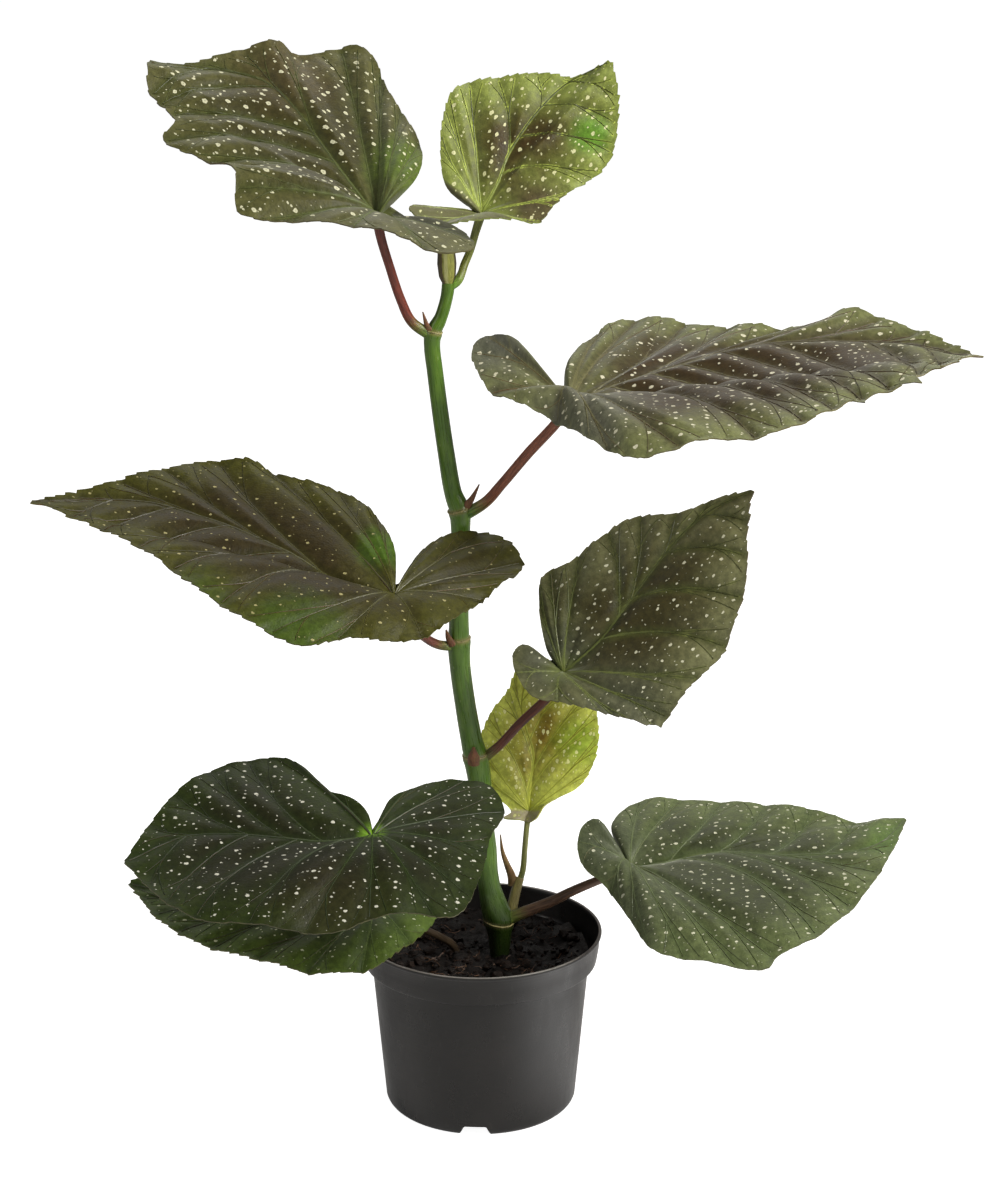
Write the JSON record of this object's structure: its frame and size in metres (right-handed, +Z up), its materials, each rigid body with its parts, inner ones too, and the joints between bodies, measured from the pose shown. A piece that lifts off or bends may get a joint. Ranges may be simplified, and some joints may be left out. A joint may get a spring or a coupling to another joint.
{
  "type": "potted polka dot begonia",
  "caption": "Young cane begonia with lopsided, wavy, white-spotted leaves on one upright stem, standing in soil in a plain round nursery pot.",
  "frame": {"origin": "centre of the flat pad under the pot, on the surface that the pot stands on", "axes": "+Z up along the pot's axis, -Y towards the side that the leaves face, +X to the right of a viewer on that side"},
  "size_m": [0.437, 0.1865, 0.515],
  "materials": {
    "pot": "satin",
    "soil": "matte",
    "cane": "satin",
    "side_shoot": "satin",
    "petiole_top_left": "satin",
    "petiole_top_right": "satin",
    "petiole_right": "satin",
    "petiole_left": "satin",
    "petiole_middle_right": "satin",
    "petiole_pale": "satin",
    "petiole_low_left": "satin",
    "petiole_bottom_left": "satin",
    "petiole_low_right": "satin",
    "blade_top_left": "satin",
    "blade_top_right": "satin",
    "blade_right": "satin",
    "blade_left": "satin",
    "blade_middle_right": "satin",
    "blade_pale": "satin",
    "blade_low_left": "satin",
    "blade_bottom_left": "satin",
    "blade_low_right": "satin",
    "stipule_low": "satin",
    "stipule_middle": "satin",
    "stipule_high": "satin",
    "stipule_top": "satin",
    "bract": "satin",
    "bud": "satin"
  },
  "bodies": {
    "root": {"pot": "pot", "soil": "soil", "cane": "cane", "side_shoot": "side_shoot", "petiole_top_left": "petiole_top_left", "petiole_top_right": "petiole_top_right", "petiole_right": "petiole_right", "petiole_left": "petiole_left", "petiole_middle_right": "petiole_middle_right", "petiole_pale": "petiole_pale", "petiole_low_left": "petiole_low_left", "petiole_bottom_left": "petiole_bottom_left", "petiole_low_right": "petiole_low_right", "blade_top_left": "blade_top_left", "blade_top_right": "blade_top_right", "blade_right": "blade_right", "blade_left": "blade_left", "blade_middle_right": "blade_middle_right", "blade_pale": "blade_pale", "blade_low_left": "blade_low_left", "blade_bottom_left": "blade_bottom_left", "blade_low_right": "blade_low_right", "stipule_low": "stipule_low", "stipule_middle": "stipule_middle", "stipule_high": "stipule_high", "stipule_top": "stipule_top", "bract": "bract", "bud": "bud"}
  },
  "joints": []
}
